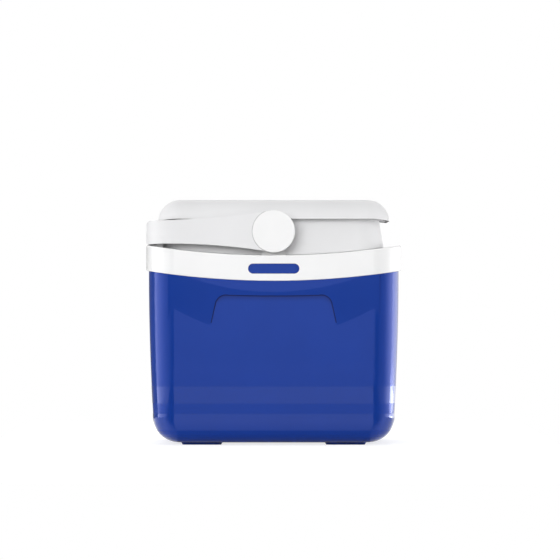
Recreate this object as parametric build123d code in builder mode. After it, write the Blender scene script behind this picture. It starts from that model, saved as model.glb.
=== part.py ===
"""Hard-shell vaccine carrier with a lift-off lid and a swinging bail handle.

Millimetres. The origin is on the floor under the middle of the case, +X runs along the
length, the front faces -Y and +Z is up. The bail is modelled folded down towards -X.
"""

from build123d import *
from math import cos, radians, sin, sqrt, tan
import os

# ---- Driving dimensions --------------------------------------------------------------------------

collar_half_x = 152.4  # half length over the rim collar, the longest part of the case
collar_half_y = 114.0
lid_top_z = 292.9

pivot_z = 255.0  # axis of the bail handle, along Y
foot_height = 2.9

shell_wall = 3.0
collar_wall = 2.9
liner_wall = 2.5
lid_wall = 3.0
fit = 0.1  # gap between pieces that seat in each other
moving_gap = 0.5  # gap between pieces on different bodies
overlap = 1.0  # how far a form starts inside the body that it grows from or cuts

# ---- Outer shell, a bowed tub --------------------------------------------------------------------

shell_half_x = collar_half_x - collar_wall - fit
shell_half_y = collar_half_y - collar_wall - fit
shell_top_z = 221.3
shell_straight_z = 210.0  # above this the walls stand straight, for the collar
wall_bow_radius = 2950.0  # below it they bow in on this radius
shell_corner = 31.0
end_round = 28.0  # bottom edge of the two short walls
side_round = 15.5  # bottom edge of the two long walls
pan_steps = 9  # strips in the bottom's rounding
stripe_proud = 0.15
stripes = ((18.0, 37.6), (49.9, 70.3))  # lower and upper edge of each raised band
foot_size = (51.0, 32.0)
foot_centre = (86.0, 68.0)
foot_corner = 8.0
foot_draft = 30.0
fill_hole_radius = 9.0  # foam is injected here, under the bottom
plug_flange_thick = 1.4
plug_flange_radius = 12.0
plug_flange_round = 0.6
plug_stem = 8.0  # above the bottom's outside
plug_stem_radius = fill_hole_radius - fit
plug_stem_chamfer = 1.0

# ---- Yoke, the leaning relief under the collar ---------------------------------------------------

yoke_start_z = 127.8  # where the leaning face leaves the wall, in the middle
yoke_lean = 4.0  # degrees
yoke_crown_radius = 4190.0
yoke_half_x = 126.0
yoke_crest_y = collar_half_y - 0.3
yoke_root = 2.0  # how deep its blank starts inside the wall
grip_top_z = 178.0
grip_sag = 1.2
grip_top_half = 67.0
grip_low_half = 80.0
grip_low_z = 121.0
grip_corner = 13.0

# ---- Rim collar ----------------------------------------------------------------------------------

ledge_radius = 960.0  # the collar's top and bottom edges dip on this radius
ledge_low_z = 226.5
collar_low_z = 196.0
collar_corner = shell_corner + collar_wall + fit
collar_top_round = 1.5
collar_low_round = 0.9
land_z = 224.0  # flat land that the seal closes on
mouth_half_x = 131.0  # opening in the collar
mouth_half_y = 92.0
mouth_corner = 28.5
tab_slot = (61.0, 12.0)
tab_slot_z = 210.6
tab_proud = 1.1
tab_gap = 0.4

# ---- Inner liner ---------------------------------------------------------------------------------

liner_draft = 2.3
liner_half_x = 124.0  # inside, at the land
liner_half_y = 85.5
liner_corner = 24.0
liner_flange = 2.6  # thickness
liner_flange_x = 137.0
liner_flange_y = 98.0
liner_flange_corner = 32.0
cavity_floor_z = 28.0
cavity_round = 5.0

# ---- Lid -----------------------------------------------------------------------------------------

cap_half_x = 138.4
cap_half_y = 99.0
cap_corner = 30.0
cap_round = 26.0
cap_edge_z = 269.5
cap_end_drop = 2.3  # the cap's rim hangs this much lower at its ends
cap_end_slope = 0.12
cap_blank_skirt = 8.0  # cap and hollow start lower than the rim, so that their rounds fit
rim_level_x = 118.0
panel_recess = 1.0
panel_size = (206.0, 130.0)
panel_corner = 16.0
panel_draft = 45.0

skirt_draft = 9.6
skirt_half_x = 133.9  # outside, at the land
skirt_half_y = 95.0
skirt_corner = 32.0
skirt_gap = 0.6  # over the ledge
frame_flange_z = 270.3
frame_flange = 2.4

plug_bottom_z = 199.0
plug_gap = 1.2
plug_flange_z = 227.0
plug_flange = 3.0
plug_upstand = 22.0
gasket_centre = (127.4, 88.6)
gasket_corner = 27.0
gasket_width = 4.0
gasket_seat = 1.2
gasket_round = 1.0
seal_lift = 0.2  # the seal stands this far off the land

# ---- Bail handle and its lock --------------------------------------------------------------------

bail_inner_x = 141.0
bail_inner_y = 102.5
bail_corner = collar_corner
bail_inner_corner = 23.0
arm_end_top = 12.9
arm_end_low = 14.7
arm_mid = (-72.25, 16.4)
arm_root = (-6.5, 24.0)
arm_end_x = -138.0
grip_drop = 15.8  # the grip's outer edge reaches lower than the arms
grip_round = 6.0
grip_low_round = 2.0
hub_radius = 24.8
rest_pad_near_y = 61.0
rest_pad_length = 18.0
rest_pad_out_x = 150.5
rest_pad_in_x = 132.6
rest_step_x = 140.0  # the step stands inside the circle that the grip swings on
rest_step_lean = 0.4
rest_pad_top_z = 241.8
cap_disc_radius = 25.3
cap_disc_y = 116.0
cap_rim_round = 0.8
cap_spigot = 2.0
cap_spigot_wall = 1.5
hub_face_y = 113.0
hub_web_y = 109.0
counterbore_radius = 14.0
boss_radius = 8.0
bore_radius = 8.08
arm_skin = 3.0
arm_hollow = 8.0
hollow_start = 36.0  # from the grip's outer face
rib_thick = 2.2
rib_places = (-96.0, -75.0, -54.0)
cam_radius = 19.0  # double-D cam that locks the lid
cam_half_flat = 11.0
cam_seat = 1.0  # depth of its seat in the hub
cam_gap = 1.0  # between cam and catch
ear_face_y = 99.0
ear_thick = 3.3  # its inner face stands clear of the lid's skirt as the lid lifts
ear_half = 11.7
ear_foot_half = 15.0
ear_neck_z = 235.0
boss_end_y = 109.3
boss_chamfer = 0.6
catch_inner_x = 12.7
catch_outer_x = 18.0
catch_low_z = 238.5

# ---- Fasteners -----------------------------------------------------------------------------------

washer_radius = 13.0
washer_bore = 2.3  # radius
washer_thick = 1.2
screw_radius = 2.1
screw_length = 13.5
screw_head_radius = 5.0
screw_head_round = 1.0
screw_head = 2.2
drive_recess = 1.3
drive_width = 1.2
drive_length = 5.0

# ---- Coolant packs -------------------------------------------------------------------------------

pack_width = 94.0
pack_thick = 33.0
pack_body = 153.0
pack_corner = 9.0
pack_edge = 6.0
pack_cap_radius = 13.0
pack_cap_height = 9.5
pack_neck_radius = 10.5
pack_neck = 6.0
pack_panel = (64.0, 110.0)
pack_panel_depth = 1.5
pack_panel_draft = 30.0
cap_grips = 24
cap_grip_radius = 0.8
pack_stand = 0.2  # above the cavity floor
pack_wall_gap = 1.0

os.makedirs("parts", exist_ok=True)


def finish(builder, name):
    """Label a finished piece and write its STEP."""
    builder.part.label = name
    export_step(builder.part, f"parts/{name}.step")


# ---- Rules that several pieces share -------------------------------------------------------------


def ledge_rise(x):
    """Rise of the collar's dipped edges at x, above their lowest point."""
    return ledge_radius - sqrt(ledge_radius**2 - x**2)


def wall_inset(height):
    """How far the bowed wall has come in at a height."""
    return max(0.0, shell_straight_z - height) ** 2 / (2 * wall_bow_radius)


def round_inset(rise, radius):
    """How far a bottom edge round has come in at a rise above the flat bottom."""
    if rise >= radius:
        return 0.0
    return radius - sqrt(radius**2 - (radius - rise) ** 2)


def hull_size(height, inset=0.0):
    """Length, depth and corner radius of the tub at a height, inset from its outside."""
    rise = height - foot_height - inset
    end_in = round_inset(rise, end_round - inset)
    side_in = round_inset(rise, side_round - inset)
    bow = wall_inset(height)
    length = 2 * (shell_half_x - bow - end_in - inset)
    depth = 2 * (shell_half_y - bow - side_in - inset)
    corner = shell_corner - bow - 0.3 * (end_in + side_in) - inset
    return length, depth, corner


def pan_heights(inset=0.0):
    """Heights of the sections through the rounded bottom, evenly spaced along its arc."""
    radius = end_round - inset
    turns = [90 * step / pan_steps for step in range(pan_steps + 1)]
    return [foot_height + inset + radius * (1 - cos(radians(turn))) for turn in turns]


def drafted(half, height, draft, base):
    """Half size at a height of a wall that leans in by its draft above its base."""
    return half - (height - base) * tan(radians(draft))


def pivot_plane(side, reach):
    """Plane across the pivot's axis, at a reach from the middle and facing out."""
    return Plane(origin=(0, side * reach, pivot_z), x_dir=(1, 0, 0), z_dir=(0, side, 0))


wall_heights = [foot_height + end_round, 75.0, 120.0, 165.0, shell_straight_z]

# ---- Yoke, front and back ------------------------------------------------------------------------

lean_plane = Plane(
    origin=(0, wall_inset(yoke_start_z) - shell_half_y, yoke_start_z),
    x_dir=(1, 0, 0),
    z_dir=(0, -sin(radians(yoke_lean)), cos(radians(yoke_lean))),
)
crown_drop = yoke_half_x**2 / (2 * yoke_crown_radius)
yoke_end_z = collar_low_z + ledge_rise(yoke_half_x) - fit
yoke_low_z = yoke_start_z - yoke_root
yoke_height = yoke_end_z - yoke_low_z

with BuildPart() as yoke:
    with BuildSketch(Plane.XZ.offset(shell_half_y - yoke_root)):
        with BuildLine():
            top_left = (-yoke_half_x, yoke_end_z)
            top_right = (yoke_half_x, yoke_end_z)
            ThreePointArc(top_left, (0, collar_low_z - fit), top_right)
            Polyline(top_right, (yoke_half_x, yoke_low_z), (-yoke_half_x, yoke_low_z), top_left)
        make_face()
        with BuildSketch(mode=Mode.PRIVATE) as grip:
            with BuildLine():
                grip_left = (-grip_top_half, grip_top_z + grip_sag)
                grip_right = (grip_top_half, grip_top_z + grip_sag)
                ThreePointArc(grip_left, (0, grip_top_z), grip_right)
                low_left = (-grip_low_half, grip_low_z)
                low_right = (grip_low_half, grip_low_z)
                Polyline(grip_right, low_right, low_left, grip_left)
            make_face()
            fillet(grip.vertices().group_by(Axis.Y)[-1], grip_corner)
        add(grip.sketch, mode=Mode.SUBTRACT)
    extrude(amount=yoke_crest_y - shell_half_y + yoke_root)
    # its face leans out and is crowned in plan
    with BuildSketch(lean_plane.offset(-yoke_height)):
        with BuildLine():
            face_left = (-yoke_half_x, crown_drop)
            face_right = (yoke_half_x, crown_drop)
            ThreePointArc(face_left, (0, 0), face_right)
            Polyline(face_right, (yoke_half_x, shell_half_y), (-yoke_half_x, shell_half_y), face_left)
        make_face()
    extrude(amount=3 * yoke_height, mode=Mode.INTERSECT)
    mirror(about=Plane.XZ)

# ---- Outer shell ---------------------------------------------------------------------------------

with BuildPart() as outer_shell:
    for heights, straight in ((pan_heights(), True), (wall_heights, False)):
        for height in heights:
            with BuildSketch(Plane.XY.offset(height)):
                RectangleRounded(*hull_size(height))
        loft(ruled=straight)
    with BuildSketch(Plane.XY.offset(shell_straight_z)):
        RectangleRounded(*hull_size(shell_straight_z))
    extrude(amount=shell_top_z - shell_straight_z)
    # raised bands all round
    for low, high in stripes:
        for height in (low, (low + high) / 2, high):
            with BuildSketch(Plane.XY.offset(height)):
                RectangleRounded(*hull_size(height, -stripe_proud))
        loft()
    add(yoke.part)
    # tabs that snap into the collar's slots
    with BuildSketch(Plane.XZ):
        with Locations((0, tab_slot_z)):
            SlotOverall(tab_slot[0] - 2 * tab_gap, tab_slot[1] - 2 * tab_gap)
    extrude(amount=shell_half_y + tab_proud, both=True)
    # feet
    with BuildSketch(Plane.XY.offset(foot_height + overlap)):
        with GridLocations(2 * foot_centre[0], 2 * foot_centre[1], 2, 2):
            RectangleRounded(*foot_size, foot_corner)
    extrude(amount=-foot_height - overlap, taper=foot_draft)
    # hollow, and the hole that the foam is injected through
    for heights, straight in ((pan_heights(shell_wall), True), (wall_heights, False)):
        for height in heights:
            with BuildSketch(Plane.XY.offset(height)):
                RectangleRounded(*hull_size(height, shell_wall))
        loft(ruled=straight, mode=Mode.SUBTRACT)
    with BuildSketch(Plane.XY.offset(shell_straight_z)):
        RectangleRounded(*hull_size(shell_straight_z, shell_wall))
    extrude(amount=shell_top_z - shell_straight_z, mode=Mode.SUBTRACT)
    with BuildSketch():
        Circle(fill_hole_radius)
    extrude(amount=foot_height + shell_wall + overlap, mode=Mode.SUBTRACT)
finish(outer_shell, "outer_shell")

# ---- Body foam and its plug ----------------------------------------------------------------------

foam_inset = shell_wall + fit

with BuildPart() as body_foam:
    for heights, straight in ((pan_heights(foam_inset), True), (wall_heights, False)):
        for height in heights:
            with BuildSketch(Plane.XY.offset(height)):
                RectangleRounded(*hull_size(height, foam_inset))
        loft(ruled=straight)
    foam_top_z = land_z - liner_flange - fit
    with BuildSketch(Plane.XY.offset(shell_straight_z)):
        RectangleRounded(*hull_size(shell_straight_z, foam_inset))
    extrude(amount=foam_top_z - shell_straight_z)
    # the liner's pan
    with BuildSketch(Plane.XY.offset(land_z)):
        wall = liner_wall + fit
        RectangleRounded(2 * (liner_half_x + wall), 2 * (liner_half_y + wall), liner_corner + wall)
    extrude(amount=cavity_floor_z - wall - land_z, taper=liner_draft, mode=Mode.SUBTRACT)
    with BuildSketch():
        Circle(fill_hole_radius + fit)
    extrude(amount=foot_height + plug_stem + overlap, mode=Mode.SUBTRACT)
finish(body_foam, "body_foam")

with BuildPart() as foam_fill_plug:
    with BuildSketch(Plane.XY.offset(foot_height - plug_flange_thick)):
        Circle(plug_flange_radius)
    extrude(amount=plug_flange_thick)
    fillet(foam_fill_plug.edges().group_by(Axis.Z)[0], plug_flange_round)
    with BuildSketch(Plane.XY.offset(foot_height)):
        Circle(plug_stem_radius)
    extrude(amount=plug_stem)
    chamfer(foam_fill_plug.edges().group_by(Axis.Z)[-1], plug_stem_chamfer)
finish(foam_fill_plug, "foam_fill_plug")

# ---- Inner liner ---------------------------------------------------------------------------------

with BuildPart() as inner_liner:
    with BuildSketch(Plane.XY.offset(land_z)):
        RectangleRounded(
            2 * (liner_half_x + liner_wall), 2 * (liner_half_y + liner_wall), liner_corner + liner_wall
        )
    extrude(amount=cavity_floor_z - liner_wall - land_z, taper=liner_draft)
    fillet(inner_liner.faces().sort_by(Axis.Z)[0].edges(), cavity_round + liner_wall)
    with BuildSketch(Plane.XY.offset(land_z)):
        RectangleRounded(2 * liner_flange_x, 2 * liner_flange_y, liner_flange_corner)
    extrude(amount=-liner_flange)
    with BuildSketch(Plane.XY.offset(land_z)):
        RectangleRounded(2 * liner_half_x, 2 * liner_half_y, liner_corner)
    extrude(amount=cavity_floor_z - land_z, taper=liner_draft, mode=Mode.SUBTRACT)
    floor_edges = inner_liner.edges().filter_by(lambda edge: abs(edge.center().Z - cavity_floor_z) < fit)
    fillet(floor_edges, cavity_round)
finish(inner_liner, "inner_liner")

# ---- Rim collar ----------------------------------------------------------------------------------

skirt_inside_x = shell_half_x + fit
skirt_inside_y = shell_half_y + fit
skirt_inside_corner = shell_corner + fit
ledge_end_z = ledge_low_z + ledge_rise(collar_half_x)
collar_end_z = collar_low_z + ledge_rise(collar_half_x)
seat_z = land_z + fit

# hollow under the collar's top plate, where the ledge stands high enough above the liner
with BuildPart() as plate_hollow:
    with BuildSketch(Plane.XY.offset(seat_z)):
        RectangleRounded(2 * skirt_inside_x, 2 * skirt_inside_y, skirt_inside_corner)
        RectangleRounded(
            2 * (mouth_half_x + collar_wall),
            2 * (mouth_half_y + collar_wall),
            mouth_corner + collar_wall,
            mode=Mode.SUBTRACT,
        )
    extrude(amount=ledge_end_z - seat_z)
    with BuildSketch(Plane.XZ):
        with BuildLine():
            plate_rise = ledge_low_z - collar_wall
            left = (-collar_half_x, plate_rise + ledge_rise(collar_half_x))
            right = (collar_half_x, plate_rise + ledge_rise(collar_half_x))
            ThreePointArc(left, (0, plate_rise), right)
            Polyline(right, (collar_half_x, collar_low_z), (-collar_half_x, collar_low_z), left)
        make_face()
    extrude(amount=collar_half_y, both=True, mode=Mode.INTERSECT)

# ears that carry the pivots, standing clear of the lid's leaning skirt
with BuildPart() as ears:
    with BuildSketch(Plane.XZ.offset(ear_face_y)):
        with BuildLine():
            foot_z = ledge_low_z - overlap
            Polyline(
                (-ear_half, pivot_z),
                (-ear_half, ear_neck_z),
                (-ear_foot_half, foot_z),
                (ear_foot_half, foot_z),
                (ear_half, ear_neck_z),
                (ear_half, pivot_z),
            )
            ThreePointArc((ear_half, pivot_z), (0, pivot_z + ear_half), (-ear_half, pivot_z))
        make_face()
    extrude(amount=-ear_thick)
    with BuildSketch(pivot_plane(-1, ear_face_y)):
        Circle(boss_radius)
    extrude(amount=boss_end_y - ear_face_y)
    chamfer(ears.edges().group_by(Axis.Y)[0], boss_chamfer)
    with Locations(pivot_plane(-1, boss_end_y)):
        Hole(screw_radius + fit / 2, screw_length - washer_thick + moving_gap)
    mirror(about=Plane.XZ)

# pads under the folded grip, near the corners, each with a step up behind the grip
with BuildPart() as rest_pads:
    with BuildSketch(Plane.XZ.offset(rest_pad_near_y)):
        with BuildLine():
            under_grip_z = pivot_z - grip_drop - moving_gap
            foot_out_z = ledge_low_z + ledge_rise(rest_pad_out_x) - overlap
            foot_in_z = ledge_low_z + ledge_rise(rest_pad_in_x) - overlap
            Polyline(
                (-rest_pad_out_x, foot_out_z),
                (-rest_pad_out_x, under_grip_z),
                (-rest_step_x, under_grip_z),
                (-rest_step_x + rest_step_lean, rest_pad_top_z),
                (-rest_pad_in_x, rest_pad_top_z),
                (-rest_pad_in_x, foot_in_z),
                close=True,
            )
        make_face()
    extrude(amount=rest_pad_length)
    mirror(about=Plane.XZ)

with BuildPart() as rim_collar:
    with BuildSketch(Plane.XZ):
        with BuildLine():
            top_left = (-collar_half_x, ledge_end_z)
            top_right = (collar_half_x, ledge_end_z)
            low_left = (-collar_half_x, collar_end_z)
            low_right = (collar_half_x, collar_end_z)
            ThreePointArc(top_left, (0, ledge_low_z), top_right)
            Line(top_right, low_right)
            ThreePointArc(low_right, (0, collar_low_z), low_left)
            Line(low_left, top_left)
        make_face()
    extrude(amount=collar_half_y, both=True)
    with BuildSketch():
        RectangleRounded(2 * collar_half_x, 2 * collar_half_y, collar_corner)
    extrude(amount=lid_top_z, mode=Mode.INTERSECT)
    top_rim = rim_collar.faces().sort_by(Axis.Z)[-1].edges()
    low_rim = rim_collar.faces().sort_by(Axis.Z)[0].edges()
    fillet(top_rim, collar_top_round)
    fillet(low_rim, collar_low_round)
    with BuildSketch(Plane.XY.offset(collar_low_z - overlap)):
        RectangleRounded(2 * skirt_inside_x, 2 * skirt_inside_y, skirt_inside_corner)
    extrude(amount=seat_z - collar_low_z + overlap, mode=Mode.SUBTRACT)
    with BuildSketch(Plane.XY.offset(land_z)):
        RectangleRounded(2 * mouth_half_x, 2 * mouth_half_y, mouth_corner)
    extrude(amount=lid_top_z - land_z, mode=Mode.SUBTRACT)
    add(plate_hollow.part, mode=Mode.SUBTRACT)
    add(ears.part)
    add(rest_pads.part)
    with BuildSketch(Plane.XZ):
        with Locations((0, tab_slot_z)):
            SlotOverall(*tab_slot)
    extrude(amount=collar_half_y + overlap, both=True, mode=Mode.SUBTRACT)
finish(rim_collar, "rim_collar")

# ---- Bail handle ---------------------------------------------------------------------------------


def below(point):
    """The same point on the arm's lower edge."""
    return point[0], -point[1]


arm_end = (arm_end_x, arm_end_top)
arm_foot = (arm_end_x, -arm_end_low)

with BuildPart() as handle_bail:
    # the U in plan
    with BuildSketch(Plane.XY.offset(pivot_z - hub_radius - overlap)):
        RectangleRounded(2 * collar_half_x, 2 * collar_half_y, bail_corner)
        RectangleRounded(2 * bail_inner_x, 2 * bail_inner_y, bail_inner_corner, mode=Mode.SUBTRACT)
        with Locations((hub_radius + collar_half_x, 0)):
            Rectangle(2 * collar_half_x, 2 * (collar_half_y + overlap), mode=Mode.SUBTRACT)
    extrude(amount=2 * (hub_radius + overlap))
    # the arms and hubs in elevation
    with BuildSketch(Plane.XZ):
        with BuildSketch(mode=Mode.PRIVATE) as arms:
            with BuildLine():
                ThreePointArc(arm_end, arm_mid, arm_root)
                Line(arm_root, below(arm_root))
                ThreePointArc(below(arm_root), below(arm_mid), arm_foot)
                grip_top = (-collar_half_x, arm_end_top)
                grip_foot = (-collar_half_x, -grip_drop)
                Polyline(arm_foot, grip_foot, grip_top, arm_end)
            make_face()
            fillet(arms.vertices().group_by(Axis.X)[0].sort_by(Axis.Y)[-1], grip_round)
            fillet(arms.vertices().group_by(Axis.X)[0].sort_by(Axis.Y)[0], grip_low_round)
        with Locations((0, pivot_z)):
            add(arms.sketch)
            Circle(hub_radius)
    extrude(amount=collar_half_y, both=True, mode=Mode.INTERSECT)
    # hollow backs of the arms, between ribs
    with BuildSketch(Plane.XZ):
        with BuildSketch(mode=Mode.PRIVATE) as backs:
            add(arms.sketch)
            offset(amount=-arm_skin, mode=Mode.REPLACE)
            with Locations((-collar_half_x, 0)):
                Rectangle(2 * hollow_start, 4 * hub_radius, mode=Mode.SUBTRACT)
            Circle(hub_radius + rib_thick, mode=Mode.SUBTRACT)
            for place in rib_places:
                with Locations((place, 0)):
                    Rectangle(rib_thick, 4 * hub_radius, mode=Mode.SUBTRACT)
        with Locations((0, pivot_z)):
            add(backs.sketch)
    extrude(amount=bail_inner_y + arm_hollow, both=True, mode=Mode.SUBTRACT)
    # seats for the hub caps, washers, cams and the pivots
    for side in (-1, 1):
        with BuildSketch(pivot_plane(side, hub_face_y)):
            Circle(cap_disc_radius + fit)
        extrude(amount=collar_half_y - hub_face_y + overlap, mode=Mode.SUBTRACT)
        with BuildSketch(pivot_plane(side, hub_web_y)):
            Circle(counterbore_radius)
        extrude(amount=collar_half_y - hub_web_y, mode=Mode.SUBTRACT)
        with BuildSketch(pivot_plane(side, bail_inner_y)):
            Circle(cam_radius + fit)
            Rectangle(2 * (cam_half_flat + fit), 2 * (cam_radius + overlap), mode=Mode.INTERSECT)
        extrude(amount=cam_seat, mode=Mode.SUBTRACT)
        with BuildSketch(pivot_plane(side, bail_inner_y)):
            Circle(bore_radius)
        extrude(amount=collar_half_y - bail_inner_y, mode=Mode.SUBTRACT)
finish(handle_bail, "handle_bail")

# ---- Lock cams, one set into the inner face of each hub ------------------------------------------

for side, name in ((-1, "lock_cam_front"), (1, "lock_cam_back")):
    with BuildPart() as lock_cam:
        with BuildSketch(pivot_plane(side, ear_face_y + moving_gap)):
            Circle(cam_radius)
            Rectangle(2 * cam_half_flat, 2 * (cam_radius + overlap), mode=Mode.INTERSECT)
            Circle(bore_radius, mode=Mode.SUBTRACT)
        extrude(amount=bail_inner_y + cam_seat - ear_face_y - moving_gap)
    finish(lock_cam, name)

# ---- Hub caps, washers and screws, one of each on the front and back -----------------------------

for side, name in ((-1, "hub_cap_front"), (1, "hub_cap_back")):
    with BuildPart() as hub_cap:
        with BuildSketch(pivot_plane(side, hub_face_y)):
            Circle(cap_disc_radius)
        extrude(amount=cap_disc_y - hub_face_y)
        outer_rim = hub_cap.edges().sort_by(Axis.Y)[0 if side < 0 else -1]
        fillet(outer_rim, cap_rim_round)
        # spigot that snaps into the hub's counterbore
        with BuildSketch(pivot_plane(side, hub_face_y)):
            Circle(counterbore_radius - fit)
            Circle(counterbore_radius - fit - cap_spigot_wall, mode=Mode.SUBTRACT)
        extrude(amount=-cap_spigot)
    finish(hub_cap, name)

with BuildPart() as pivot_washers:
    for side in (-1, 1):
        with BuildSketch(pivot_plane(side, boss_end_y)):
            Circle(washer_radius)
            Circle(washer_bore, mode=Mode.SUBTRACT)
        extrude(amount=washer_thick)
finish(pivot_washers, "pivot_washers")

with BuildPart() as pivot_screws:
    for side in (-1, 1):
        head_y = boss_end_y + washer_thick
        with BuildSketch(pivot_plane(side, head_y)):
            Circle(screw_head_radius)
        extrude(amount=screw_head)
        head_rim = pivot_screws.edges().sort_by(Axis.Y)[0 if side < 0 else -1]
        fillet(head_rim, screw_head_round)
        with BuildSketch(pivot_plane(side, head_y)):
            Circle(screw_radius)
        extrude(amount=-screw_length)
        # cross recess
        with BuildSketch(pivot_plane(side, head_y + screw_head)):
            Rectangle(drive_width, drive_length)
            Rectangle(drive_length, drive_width)
        extrude(amount=-drive_recess, mode=Mode.SUBTRACT)
finish(pivot_screws, "pivot_screws")

# ---- Lid top, the cap with its hanging rim -------------------------------------------------------

blank_low_z = cap_edge_z - cap_blank_skirt
inner_x = cap_half_x - lid_wall
inner_y = cap_half_y - lid_wall
inner_corner = cap_corner - lid_wall
ceiling_z = lid_top_z - lid_wall

with BuildPart() as cap_hollow:
    with BuildSketch(Plane.XY.offset(blank_low_z)):
        RectangleRounded(2 * inner_x, 2 * inner_y, inner_corner)
    extrude(amount=ceiling_z - blank_low_z)
    fillet(cap_hollow.faces().sort_by(Axis.Z)[-1].edges(), cap_round - lid_wall)

with BuildPart() as lid_top:
    with BuildSketch(Plane.XY.offset(blank_low_z)):
        RectangleRounded(2 * cap_half_x, 2 * cap_half_y, cap_corner)
    extrude(amount=lid_top_z - blank_low_z)
    fillet(lid_top.faces().sort_by(Axis.Z)[-1].edges(), cap_round)
    add(cap_hollow.part, mode=Mode.SUBTRACT)
    # the rim's lower edge is level along the front and droops at the ends
    with BuildSketch(Plane.XZ):
        with BuildLine():
            rim_left = (-cap_half_x, cap_edge_z - cap_end_drop)
            rim_right = (cap_half_x, cap_edge_z - cap_end_drop)
            level_left = (-rim_level_x, cap_edge_z)
            level_right = (rim_level_x, cap_edge_z)
            Spline(rim_left, level_left, tangents=((1, cap_end_slope), (1, 0)))
            Line(level_left, level_right)
            Spline(level_right, rim_right, tangents=((1, 0), (1, -cap_end_slope)))
            cut_low_z = blank_low_z - overlap
            Polyline(rim_right, (cap_half_x, cut_low_z), (-cap_half_x, cut_low_z), rim_left)
        make_face()
    extrude(amount=cap_half_y, both=True, mode=Mode.SUBTRACT)
    # shallow panel in the top
    with BuildSketch(Plane.XY.offset(lid_top_z)):
        RectangleRounded(*panel_size, panel_corner)
    extrude(amount=-panel_recess, taper=panel_draft, mode=Mode.SUBTRACT)
finish(lid_top, "lid_top")

# ---- Lid frame, the leaning skirt with the catches for the handle's cams -------------------------

catch_root_y = skirt_half_y - 3 * lid_wall  # inside the skirt's wall at their height

with BuildPart() as catches:
    with BuildSketch(Plane.XZ.offset(catch_root_y)):
        with Locations((0, (catch_low_z + pivot_z) / 2)):
            with GridLocations(catch_inner_x + catch_outer_x, 0, 2, 1):
                Rectangle(catch_outer_x - catch_inner_x, pivot_z - catch_low_z)
        with Locations((0, pivot_z)):
            Circle(cam_radius + cam_gap, mode=Mode.SUBTRACT)
    extrude(amount=bail_inner_y - cam_gap - catch_root_y)
    mirror(about=Plane.XZ)

with BuildPart() as lid_frame:
    with BuildSketch(Plane.XY.offset(land_z)):
        RectangleRounded(2 * skirt_half_x, 2 * skirt_half_y, skirt_corner)
    extrude(amount=frame_flange_z + frame_flange - land_z, taper=skirt_draft)
    with BuildSketch(Plane.XY.offset(frame_flange_z)):
        # the hollow has begun to round in at this height
        flange_in = cap_round - lid_wall + fit
        rise = frame_flange_z + frame_flange - (lid_top_z - cap_round)
        flange_in -= sqrt((cap_round - lid_wall) ** 2 - rise**2)
        RectangleRounded(2 * (inner_x - flange_in), 2 * (inner_y - flange_in), inner_corner - flange_in)
    extrude(amount=frame_flange)
    add(catches.part)
    with BuildSketch(Plane.XY.offset(land_z)):
        RectangleRounded(
            2 * (skirt_half_x - lid_wall), 2 * (skirt_half_y - lid_wall), skirt_corner - lid_wall
        )
    extrude(amount=frame_flange_z + frame_flange - land_z, taper=skirt_draft, mode=Mode.SUBTRACT)
    # the skirt's foot follows the collar's ledge
    with BuildSketch(Plane.XZ):
        with BuildLine():
            foot_mid = ledge_low_z + skirt_gap
            left = (-collar_half_x, foot_mid + ledge_rise(collar_half_x))
            right = (collar_half_x, foot_mid + ledge_rise(collar_half_x))
            ThreePointArc(left, (0, foot_mid), right)
            low_z = land_z - overlap
            Polyline(right, (collar_half_x, low_z), (-collar_half_x, low_z), left)
        make_face()
    extrude(amount=collar_half_y, both=True, mode=Mode.SUBTRACT)
finish(lid_frame, "lid_frame")

# ---- Lid liner, the insulated plug ---------------------------------------------------------------

upstand_x = drafted(skirt_half_x - lid_wall, plug_flange_z, skirt_draft, land_z) - fit
upstand_y = drafted(skirt_half_y - lid_wall, plug_flange_z, skirt_draft, land_z) - fit
upstand_corner = drafted(skirt_corner - lid_wall, plug_flange_z, skirt_draft, land_z) - fit
plug_x = drafted(liner_half_x, plug_flange_z, -liner_draft, land_z) - plug_gap
plug_y = drafted(liner_half_y, plug_flange_z, -liner_draft, land_z) - plug_gap
plug_corner = liner_corner - plug_gap


def seal_ring(half):
    """The seal's plan, with a half width about its centre line."""
    with BuildSketch(mode=Mode.PRIVATE) as ring:
        for grow in (half, -half):
            RectangleRounded(
                2 * (gasket_centre[0] + grow),
                2 * (gasket_centre[1] + grow),
                gasket_corner + grow,
                mode=Mode.ADD if grow > 0 else Mode.SUBTRACT,
            )
    return ring.sketch


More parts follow.
